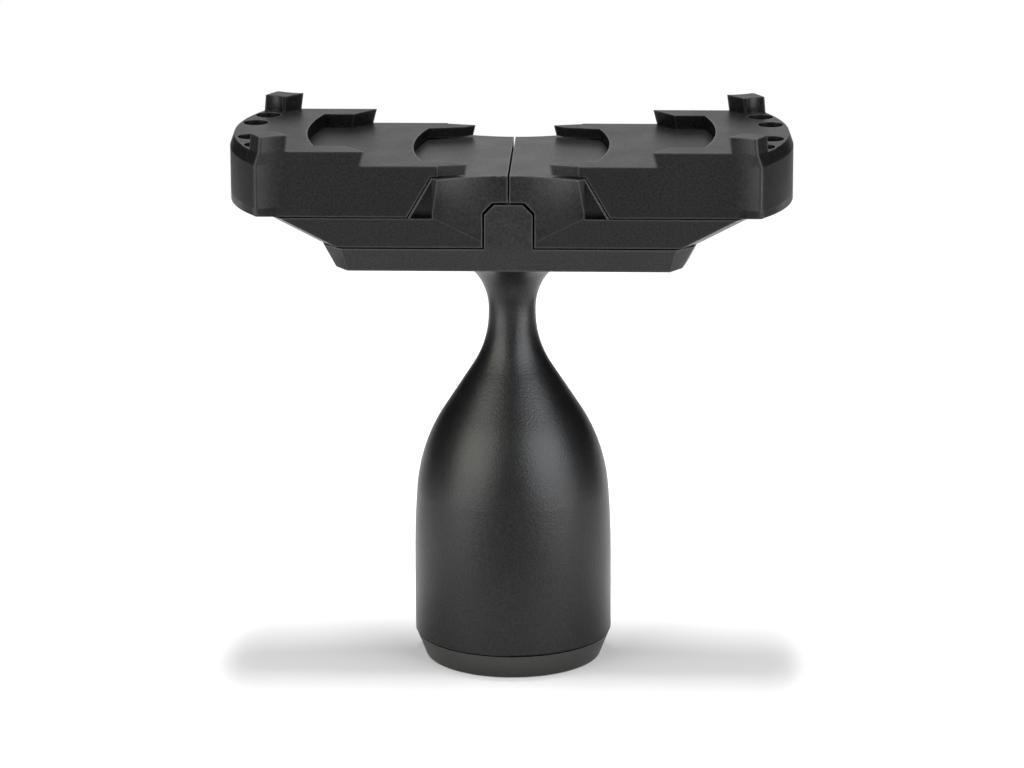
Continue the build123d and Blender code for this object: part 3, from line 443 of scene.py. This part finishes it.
drape = bmesh.new()
add_strip(drape, -CURTAIN_REACH, CURTAIN_REACH, (CURTAIN_RADIUS, 0.0), (CURTAIN_RADIUS, CURTAIN_HEIGHT))
mirrored_cloths = [(near, far, -last, -first) for near, far, first, last in SIDE_CLOTHS]
for near, far, first, last in (*SIDE_CLOTHS, *mirrored_cloths, FRONT_CLOTH):
    add_strip(drape, first, last, (near, CLOTH_LIFT), (far, CLOTH_LIFT))
curtain_mesh = bpy.data.meshes.new("studio_curtain")
drape.to_mesh(curtain_mesh)
drape.free()
curtain = bpy.data.objects.new("studio_curtain", curtain_mesh)
bpy.context.scene.collection.objects.link(curtain)
cloth, tree = blank_material("black_curtain")
matt = add_node(tree, "ShaderNodeBsdfDiffuse", {"Color": ink("#1c1c1c"), "Roughness": 1.0})
add_node(tree, "ShaderNodeOutputMaterial", {"Surface": matt.outputs[0]})
curtain_mesh.materials.append(cloth)
curtain.visible_camera = False
curtain.visible_diffuse = False
curtain.visible_transmission = False
curtain.visible_shadow = False

# white surround: plain white to the eye and in the gloss, and only a dim fill on the handle
FILL_LIGHT = 0.26
world = bpy.data.worlds.new("studio")
bpy.context.scene.world = world
world.use_nodes = True
tree = world.node_tree
tree.nodes.clear()
fill = add_node(tree, "ShaderNodeBackground", {"Color": ink("#ffffff"), "Strength": FILL_LIGHT})
surround = add_node(tree, "ShaderNodeBackground", {"Color": ink("#ffffff"), "Strength": 1.0})
mix = add_node(tree, "ShaderNodeMixShader", {
    0: seen_as_backdrop(tree), 1: fill.outputs[0], 2: surround.outputs[0]})
add_node(tree, "ShaderNodeOutputWorld", {"Surface": mix.outputs[0]})

# lamps: metres, degrees and watts; a gloss card stands just inside each box and starts higher
AIM = Vector((0.0, 0.0, 0.07))
BOX_AZIMUTH = 51
BOX_ELEVATION = 21
BOX_DISTANCE = 0.8
BOX_WIDTH = 0.74
BOX_HEIGHT = 0.76
BOX_POWER = 2.7
GLOSS_CARD_ELEVATION = 26.3
GLOSS_CARD_DISTANCE = 0.79
GLOSS_CARD_HEIGHT = 0.614
FLOOR_CARD_X = 0.45
FLOOR_CARD_Y = -0.35
FLOOR_CARD_Z = 0.004
FLOOR_CARD_WIDTH = 0.35
FLOOR_CARD_DEPTH = 0.50
STRIP_AZIMUTH = 180
STRIP_ELEVATION = 85.5
STRIP_DISTANCE = 1.1
STRIP_WIDTH = 0.12
STRIP_LENGTH = 0.38
STRIP_POWER = 16.2
DOWN = Vector((0, 0, -1))
# side, its sign in X, power of its gloss card and its floor card, and the gloss card's tint
LAMP_SIDES = (("left", -1, 5.4, 5.4, "#fffff3"), ("right", 1, 7.0, 6.8, "#f7faff"))


def from_front(azimuth, elevation):
    """The direction that lies azimuth degrees right of the front and elevation degrees up."""
    turn = math.radians(azimuth)
    rise = math.radians(elevation)
    return Vector((math.sin(turn) * math.cos(rise), -math.cos(turn) * math.cos(rise), math.sin(rise)))


def soft_box(name, place, outward, width, height, power, gloss_only=False, tint="#ffffff"):
    """A soft box with its back turned outward; a gloss only one shows in gloss and lights nothing."""
    lamp = bpy.data.lights.new(name, "AREA")
    lamp.color = ink(tint)[:3]
    lamp.shape = "RECTANGLE"
    lamp.size = width
    lamp.size_y = height
    lamp.energy = power
    holder = bpy.data.objects.new(name, lamp)
    holder.location = place
    holder.rotation_euler = outward.to_track_quat("Z", "Y").to_euler()
    holder.visible_camera = False
    holder.visible_diffuse = not gloss_only
    bpy.context.scene.collection.objects.link(holder)


for side, sign, gloss_power, floor_power, tint in LAMP_SIDES:
    outward = from_front(sign * BOX_AZIMUTH, BOX_ELEVATION)
    soft_box(f"{side}_box", AIM + BOX_DISTANCE * outward, outward, BOX_WIDTH, BOX_HEIGHT, BOX_POWER)
    outward = from_front(sign * BOX_AZIMUTH, GLOSS_CARD_ELEVATION)
    soft_box(f"{side}_gloss_card", AIM + GLOSS_CARD_DISTANCE * outward, outward, BOX_WIDTH,
             GLOSS_CARD_HEIGHT, gloss_power, gloss_only=True, tint=tint)
    soft_box(f"{side}_floor_card", Vector((sign * FLOOR_CARD_X, FLOOR_CARD_Y, FLOOR_CARD_Z)), DOWN,
             FLOOR_CARD_WIDTH, FLOOR_CARD_DEPTH, floor_power, gloss_only=True)
overhead = from_front(STRIP_AZIMUTH, STRIP_ELEVATION)
soft_box("top_box", AIM + STRIP_DISTANCE * overhead, overhead, STRIP_WIDTH, STRIP_LENGTH, STRIP_POWER)


# Camera: a long lens a little right of the front and above the head.
# Its place, tilt and lens come from fitting the handle's own edges to the picture.
CAMERA_AZIMUTH = 2.10
CAMERA_ELEVATION = 15.58
CAMERA_ROLL = -0.21
CAMERA_DISTANCE = 1079.7 * MM
CAMERA_TARGET = Vector((-0.11, 0.0, 63.32)) * MM
SENSOR_WIDTH = 36.0
FOCAL_PIXELS = 4779.6
PICTURE_WIDTH = 1024
NEAREST_SEEN = 0.01
back = from_front(CAMERA_AZIMUTH, CAMERA_ELEVATION)
right = from_front(CAMERA_AZIMUTH + 90, 0)
up = back.cross(right)
roll = math.radians(CAMERA_ROLL)
level_right = right * math.cos(roll) + up * math.sin(roll)
level_up = up * math.cos(roll) - right * math.sin(roll)
lens = bpy.data.cameras.new("camera")
lens.sensor_fit = "HORIZONTAL"
lens.sensor_width = SENSOR_WIDTH
lens.lens = SENSOR_WIDTH * FOCAL_PIXELS / PICTURE_WIDTH
lens.clip_start = NEAREST_SEEN
camera = bpy.data.objects.new("camera", lens)
camera.matrix_world = Matrix.Translation(CAMERA_TARGET + CAMERA_DISTANCE * back) @ Matrix(
    (level_right, level_up, back)).transposed().to_4x4()
bpy.context.scene.collection.objects.link(camera)
bpy.context.scene.camera = camera
bpy.context.scene.view_settings.view_transform = "Standard"
